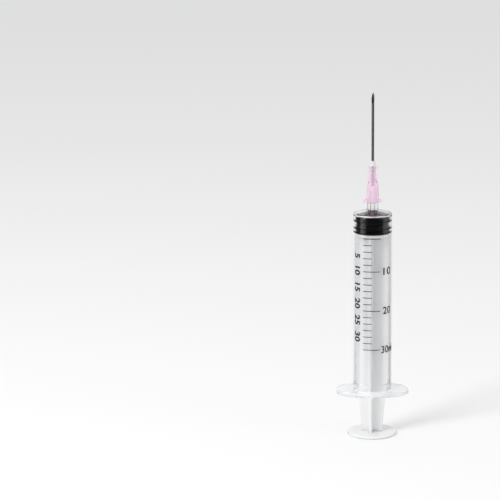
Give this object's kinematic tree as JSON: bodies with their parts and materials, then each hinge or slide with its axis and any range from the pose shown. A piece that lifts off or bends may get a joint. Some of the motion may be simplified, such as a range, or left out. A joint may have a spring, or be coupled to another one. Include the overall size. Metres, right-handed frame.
{
  "type": "disposable syringe with needle",
  "caption": "Clear plastic syringe for 30 ml with black stopper, cross-ribbed plunger rod, oval finger flange, slip taper nozzle and a finned needle hub with bevelled cannula.",
  "frame": {"origin": "centre of the thumb rest's underside, on which the syringe stands", "axes": "+Z along the barrel towards the needle's point, +X along the finger flange's long way, the printed scale faces -Y"},
  "size_m": [0.0472, 0.0314, 0.223],
  "materials": {
    "clear_plastic": "clear moulded polypropylene, gloss",
    "white_plastic": "translucent white moulded polypropylene",
    "black_rubber": "smooth black rubber, wetted",
    "black_ink": "printed ink",
    "pink_plastic": "translucent pink moulded polypropylene",
    "clear_glue": "cured clear adhesive",
    "steel": "drawn stainless steel tube"
  },
  "bodies": {
    "barrel": {"barrel": "clear_plastic", "scale_marks": "black_ink"},
    "stopper": {"stopper": "black_rubber"},
    "plunger": {"plunger_rod": "white_plastic"},
    "needle": {"needle_hub": "pink_plastic", "glue_cone": "clear_glue", "cannula": "steel"}
  },
  "joints": [
    {"name": "stopper_slide", "type": "slide", "parent": "barrel", "child": "stopper", "axis": [0, 0, -1], "range_m": [0, 0.095]},
    {"name": "rod_turn", "type": "hinge", "parent": "stopper", "child": "plunger", "pos_m": [0, 0, 0.134], "axis": [0, 0, 1], "continuous": true},
    {"name": "needle_pull", "type": "slide", "parent": "barrel", "child": "needle", "axis": [0, 0, 1], "range_m": [0, 0.025]}
  ]
}
